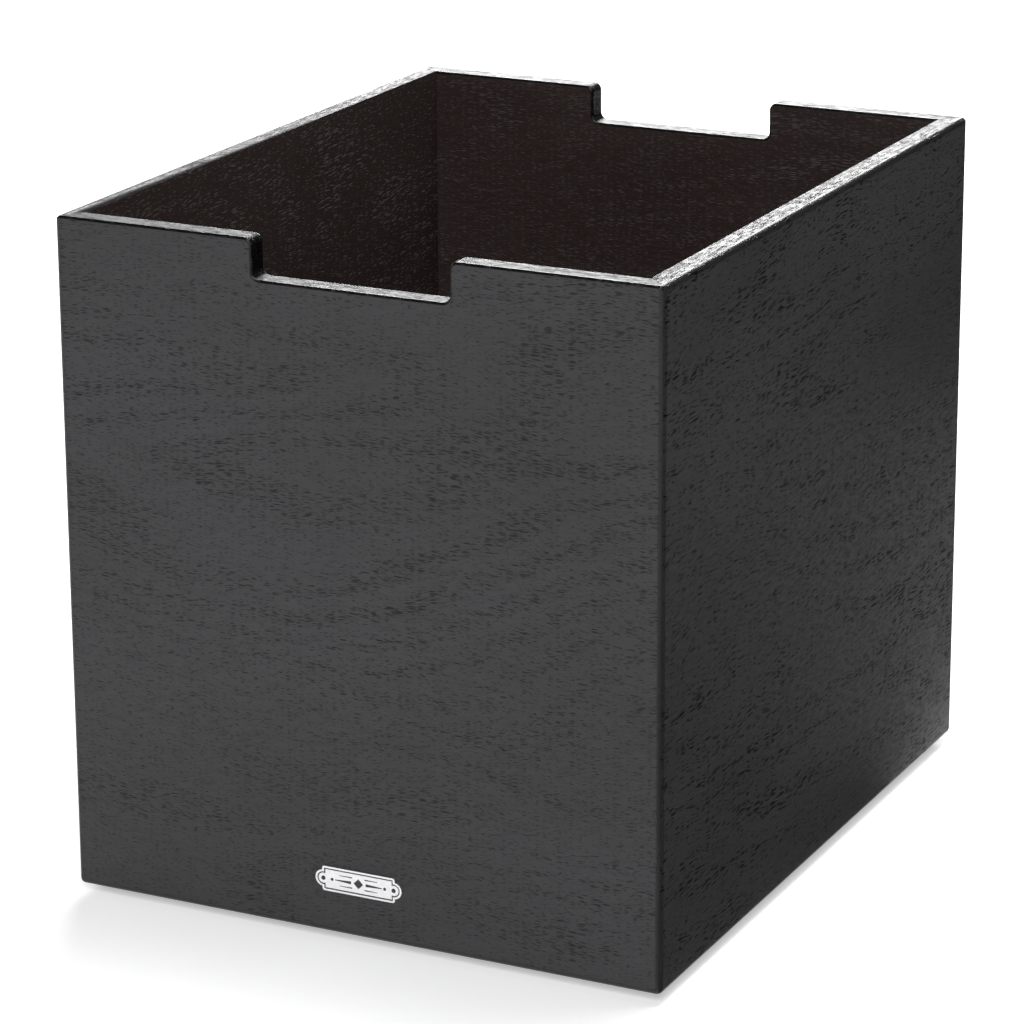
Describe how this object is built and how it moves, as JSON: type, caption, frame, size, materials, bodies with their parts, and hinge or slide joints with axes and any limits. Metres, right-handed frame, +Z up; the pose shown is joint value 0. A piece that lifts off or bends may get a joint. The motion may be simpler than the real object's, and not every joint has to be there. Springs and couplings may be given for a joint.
{
  "type": "storage box on castors",
  "caption": "Tall open-topped storage box of mitred black-stained oak panels, hand notches in the front and back rims, a small metal plate low on the front and hidden swivel castors.",
  "frame": {"origin": "middle of the footprint on the floor, where the castors stand", "axes": "+X to the right along the front, front panel with the small plate faces -Y, +Z up out of the open top"},
  "size_m": [0.32, 0.3914, 0.35],
  "materials": {
    "black_oak": "black stain under a satin oil, open pores",
    "spline_wood": "plain sanded",
    "nameplate": "satin with a raised border",
    "pins": "blackened",
    "zinc": "bright zinc plate",
    "ball_steel": "polished with a film of grease",
    "wheel_plastic": "fine moulded grain",
    "tyre": "soft matt rubber"
  },
  "bodies": {
    "box": {"front_panel": "black_oak", "back_panel": "black_oak", "left_panel": "black_oak", "right_panel": "black_oak", "base_panel": "black_oak", "corner_spline_front_left": "spline_wood", "corner_spline_front_right": "spline_wood", "corner_spline_back_left": "spline_wood", "corner_spline_back_right": "spline_wood", "nameplate": "nameplate", "nameplate_pins": "pins", "castor_plate_front_left": "zinc", "castor_plate_front_right": "zinc", "castor_plate_back_left": "zinc", "castor_plate_back_right": "zinc", "castor_screws_front_left": "zinc", "castor_screws_front_right": "zinc", "castor_screws_back_left": "zinc", "castor_screws_back_right": "zinc", "castor_kingpin_front_left": "zinc", "castor_kingpin_front_right": "zinc", "castor_kingpin_back_left": "zinc", "castor_kingpin_back_right": "zinc"},
    "fork_front_left": {"castor_fork_front_left": "zinc", "castor_balls_front_left": "ball_steel", "castor_axle_front_left": "zinc"},
    "wheel_front_left": {"castor_wheel_front_left": "wheel_plastic", "castor_tyre_front_left": "tyre"},
    "fork_front_right": {"castor_fork_front_right": "zinc", "castor_balls_front_right": "ball_steel", "castor_axle_front_right": "zinc"},
    "wheel_front_right": {"castor_wheel_front_right": "wheel_plastic", "castor_tyre_front_right": "tyre"},
    "fork_back_left": {"castor_fork_back_left": "zinc", "castor_balls_back_left": "ball_steel", "castor_axle_back_left": "zinc"},
    "wheel_back_left": {"castor_wheel_back_left": "wheel_plastic", "castor_tyre_back_left": "tyre"},
    "fork_back_right": {"castor_fork_back_right": "zinc", "castor_balls_back_right": "ball_steel", "castor_axle_back_right": "zinc"},
    "wheel_back_right": {"castor_wheel_back_right": "wheel_plastic", "castor_tyre_back_right": "tyre"}
  },
  "joints": [
    {"name": "swivel_front_left", "type": "hinge", "parent": "box", "child": "fork_front_left", "pos_m": [-0.112, -0.147, 0.0385], "axis": [0, 0, 1], "continuous": true},
    {"name": "roll_front_left", "type": "hinge", "parent": "fork_front_left", "child": "wheel_front_left", "pos_m": [-0.112, -0.134, 0.016], "axis": [1, 0, 0], "continuous": true},
    {"name": "swivel_front_right", "type": "hinge", "parent": "box", "child": "fork_front_right", "pos_m": [0.112, -0.147, 0.0385], "axis": [0, 0, 1], "continuous": true},
    {"name": "roll_front_right", "type": "hinge", "parent": "fork_front_right", "child": "wheel_front_right", "pos_m": [0.112, -0.134, 0.016], "axis": [1, 0, 0], "continuous": true},
    {"name": "swivel_back_left", "type": "hinge", "parent": "box", "child": "fork_back_left", "pos_m": [-0.112, 0.147, 0.0385], "axis": [0, 0, 1], "continuous": true},
    {"name": "roll_back_left", "type": "hinge", "parent": "fork_back_left", "child": "wheel_back_left", "pos_m": [-0.112, 0.16, 0.016], "axis": [1, 0, 0], "continuous": true},
    {"name": "swivel_back_right", "type": "hinge", "parent": "box", "child": "fork_back_right", "pos_m": [0.112, 0.147, 0.0385], "axis": [0, 0, 1], "continuous": true},
    {"name": "roll_back_right", "type": "hinge", "parent": "fork_back_right", "child": "wheel_back_right", "pos_m": [0.112, 0.16, 0.016], "axis": [1, 0, 0], "continuous": true}
  ]
}
